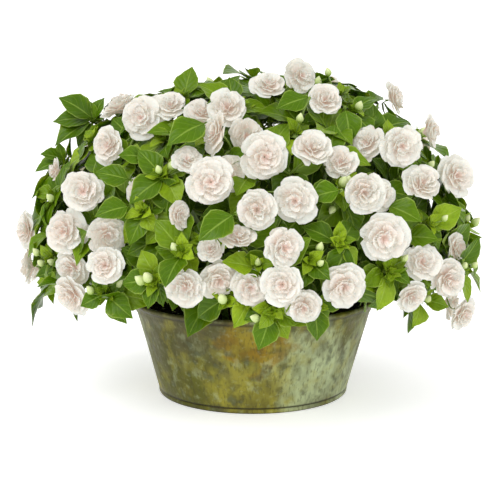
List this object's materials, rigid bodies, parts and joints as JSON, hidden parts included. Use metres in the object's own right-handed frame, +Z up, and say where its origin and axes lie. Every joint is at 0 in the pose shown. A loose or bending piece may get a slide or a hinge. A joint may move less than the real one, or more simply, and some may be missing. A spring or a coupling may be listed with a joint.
{
  "type": "potted double busy lizzie",
  "caption": "Mounded busy lizzie with double flowers and toothed leaves, growing in a round flared zinc tub.",
  "frame": {"origin": "centre of the tub's flat base, on the surface that it stands on", "axes": "+Z up the tub's axis, -Y towards the plant's front"},
  "size_m": [0.4647, 0.4736, 0.3292],
  "materials": {
    "tub": "weathered zinc, dull",
    "potting_mix": "crumbly, moist",
    "leafy_stem": "leaf, softly shining",
    "bloom": "petal, matt"
  },
  "bodies": {
    "root": {"bloom_bunch_01": "bloom", "bloom_bunch_02": "bloom", "bloom_bunch_03": "bloom", "bloom_bunch_04": "bloom", "bloom_bunch_05": "bloom", "bloom_bunch_06": "bloom", "bloom_bunch_07": "bloom", "bloom_bunch_08": "bloom", "bloom_bunch_09": "bloom", "bloom_bunch_10": "bloom", "bloom_bunch_11": "bloom", "bloom_bunch_12": "bloom", "bloom_bunch_13": "bloom", "bloom_bunch_14": "bloom", "bloom_bunch_15": "bloom", "bloom_bunch_16": "bloom", "bloom_bunch_17": "bloom", "bloom_bunch_18": "bloom", "bloom_bunch_19": "bloom", "bloom_bunch_20": "bloom", "bloom_bunch_21": "bloom", "bloom_bunch_22": "bloom", "bloom_bunch_23": "bloom", "bloom_bunch_24": "bloom", "bloom_bunch_25": "bloom", "bloom_bunch_26": "bloom", "bloom_bunch_27": "bloom", "bloom_bunch_28": "bloom", "bloom_bunch_29": "bloom", "bloom_bunch_30": "bloom", "bloom_bunch_31": "bloom", "bloom_bunch_32": "bloom", "bloom_bunch_33": "bloom", "bloom_bunch_34": "bloom", "bloom_bunch_35": "bloom", "bloom_bunch_36": "bloom", "leafy_stem_01": "leafy_stem", "leafy_stem_02": "leafy_stem", "leafy_stem_03": "leafy_stem", "leafy_stem_04": "leafy_stem", "leafy_stem_05": "leafy_stem", "leafy_stem_06": "leafy_stem", "leafy_stem_07": "leafy_stem", "leafy_stem_08": "leafy_stem", "leafy_stem_09": "leafy_stem", "leafy_stem_10": "leafy_stem", "leafy_stem_11": "leafy_stem", "leafy_stem_12": "leafy_stem", "leafy_stem_13": "leafy_stem", "leafy_stem_14": "leafy_stem", "leafy_stem_15": "leafy_stem", "potting_mix": "potting_mix", "tub": "tub"}
  },
  "joints": []
}
